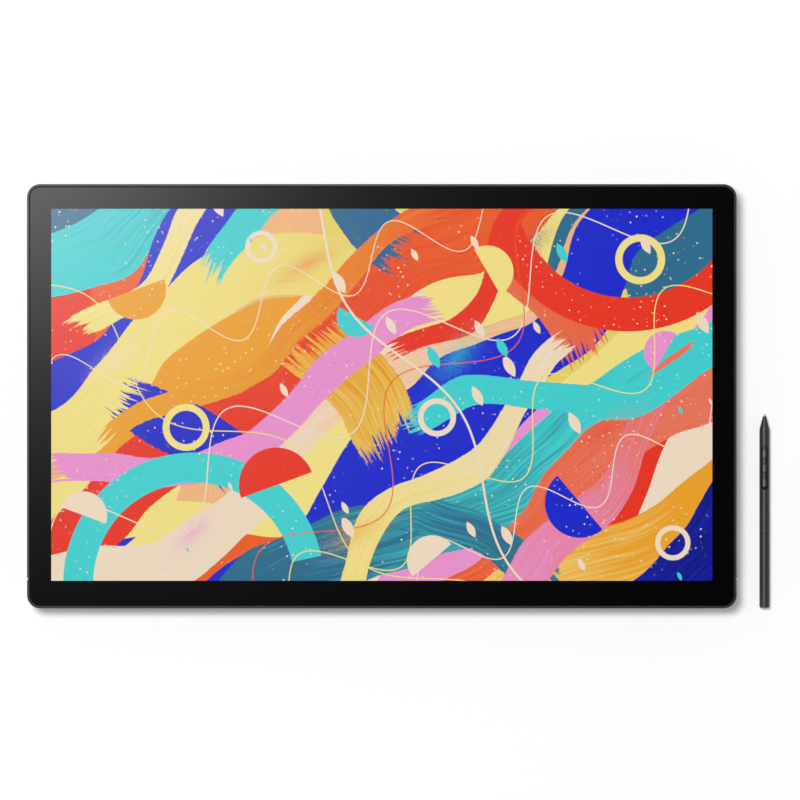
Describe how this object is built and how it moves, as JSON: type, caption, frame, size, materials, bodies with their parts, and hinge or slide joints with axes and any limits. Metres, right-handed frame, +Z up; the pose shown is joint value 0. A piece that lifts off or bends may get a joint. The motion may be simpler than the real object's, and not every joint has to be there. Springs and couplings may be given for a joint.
{
  "type": "graphics tablet with screen",
  "caption": "Flat pen display with full-front glass, folding rear legs, cable bay and arm mount, with a cordless pen beside it.",
  "frame": {"origin": "on the desk plane, in the middle of the footprint of tablet and pen together", "axes": "+Z up out of the screen, +Y from the user to the rear edge, +X to the right, where the pen lies"},
  "size_m": [0.593, 0.3382, 0.023],
  "materials": {
    "front_glass": "etched clear",
    "black_print": "matt printed ink",
    "clear_resin": "clear",
    "panel_glass": "polished",
    "diffuser_white": "frosted film",
    "guide_acrylic": "clear acrylic",
    "reflector_white": "pearly white",
    "led_strip": "white strip with yellowish lamps",
    "ring_white": "fine moulded",
    "tray_sheet": "mill finish",
    "zinc_steel": "zinc plated",
    "board_green": "solder resist",
    "board_black": "dark solder resist",
    "chip_black": "moulded",
    "film_amber": "amber film",
    "ribbon_white": "coated ribbon",
    "shield_foil": "foil",
    "tape_black": "closed foam",
    "frame_dark": "fine satin texture",
    "cover_dark": "fine spark texture",
    "rubber_black": "matt",
    "black_screw": "black coated",
    "pin_steel": "ground",
    "washer_bronze": "plain",
    "spreader_alloy": "extruded",
    "pad_grey": "soft",
    "socket_steel": "pressed",
    "button_dark": "satin",
    "light_pipe": "frosted end",
    "leg_dark": "fine satin texture",
    "pen_black": "soft satin",
    "pen_panel": "satin",
    "pen_key": "satin",
    "nib_grey": "hard, smooth",
    "ferrite": "matt",
    "copper_wire": "enamelled wire",
    "can_steel": "drawn",
    "weight_brass": "turned"
  },
  "bodies": {
    "tablet": {"cover_glass": "front_glass", "border_print": "black_print", "bonding_layer": "clear_resin", "lcd_cell": "panel_glass", "diffuser_films": "diffuser_white", "light_guide": "guide_acrylic", "back_reflector": "reflector_white", "led_strip": "led_strip", "panel_ring": "ring_white", "panel_tray": "tray_sheet", "source_board": "board_green", "driver_films": "film_amber", "sensor_board": "board_black", "sensor_shield": "shield_foil", "chassis": "zinc_steel", "upper_frame": "frame_dark", "lower_frame": "frame_dark", "glass_tape": "tape_black", "rear_cover": "cover_dark", "vent_grilles": "cover_dark", "rubber_feet": "rubber_black", "vesa_posts": "zinc_steel", "cover_screws": "black_screw", "chassis_screws": "black_screw", "board_screws": "zinc_steel", "main_board": "board_green", "control_board": "board_green", "board_parts": "chip_black", "thermal_pads": "pad_grey", "heat_spreader": "spreader_alloy", "panel_ribbon": "ribbon_white", "sensor_ribbon": "film_amber", "hdmi_socket": "socket_steel", "usb_sockets": "socket_steel", "switch_board": "board_green", "status_light": "light_pipe", "lock_plate": "zinc_steel", "hinge_brackets": "zinc_steel", "hinge_pins": "pin_steel", "friction_washers": "washer_bronze", "hinge_screws": "zinc_steel"},
    "leg_left": {"leg_left": "leg_dark", "leg_tip_left": "rubber_black"},
    "leg_right": {"leg_right": "leg_dark", "leg_tip_right": "rubber_black"},
    "power_button": {"power_button": "button_dark"},
    "pen": {"pen_nose": "pen_black", "pen_grip": "pen_black", "key_panel": "pen_panel", "pen_rear_barrel": "pen_black", "coil_core": "ferrite", "pen_coil": "copper_wire", "pressure_sensor": "can_steel", "pen_board": "board_green", "pen_carrier": "chip_black", "pen_weight": "weight_brass"},
    "nib": {"nib": "nib_grey"},
    "pen_key_front": {"pen_key_front": "pen_key"},
    "pen_key_middle": {"pen_key_middle": "pen_key"},
    "pen_key_rear": {"pen_key_rear": "pen_key"}
  },
  "joints": [
    {"name": "leg_left_hinge", "type": "hinge", "parent": "tablet", "child": "leg_left", "pos_m": [-0.18368, 0.1, 0.006], "axis": [1, 0, 0], "range_deg": [0, 105]},
    {"name": "leg_right_hinge", "type": "hinge", "parent": "tablet", "child": "leg_right", "pos_m": [0.15632, 0.1, 0.006], "axis": [1, 0, 0], "range_deg": [0, 105]},
    {"name": "power_button_press", "type": "slide", "parent": "tablet", "child": "power_button", "axis": [0, -1, 0], "range_m": [0, 0.0005], "stiffness_N_per_m": 1200, "springref_m": -0.0004},
    {"name": "pen_lift", "type": "slide", "parent": "tablet", "child": "pen", "axis": [0, 0, 1], "range_m": [0, 0.15]},
    {"name": "nib_press", "type": "slide", "parent": "pen", "child": "nib", "axis": [0, -1, 0], "range_m": [0, 0.0003], "stiffness_N_per_m": 3000, "springref_m": -0.0001},
    {"name": "pen_key_front_press", "type": "slide", "parent": "pen", "child": "pen_key_front", "axis": [0, 0, -1], "range_m": [0, 0.0003], "stiffness_N_per_m": 3000, "springref_m": -0.0003},
    {"name": "pen_key_middle_press", "type": "slide", "parent": "pen", "child": "pen_key_middle", "axis": [0, 0, -1], "range_m": [0, 0.0003], "stiffness_N_per_m": 3000, "springref_m": -0.0003},
    {"name": "pen_key_rear_press", "type": "slide", "parent": "pen", "child": "pen_key_rear", "axis": [0, 0, -1], "range_m": [0, 0.0003], "stiffness_N_per_m": 3000, "springref_m": -0.0003}
  ]
}
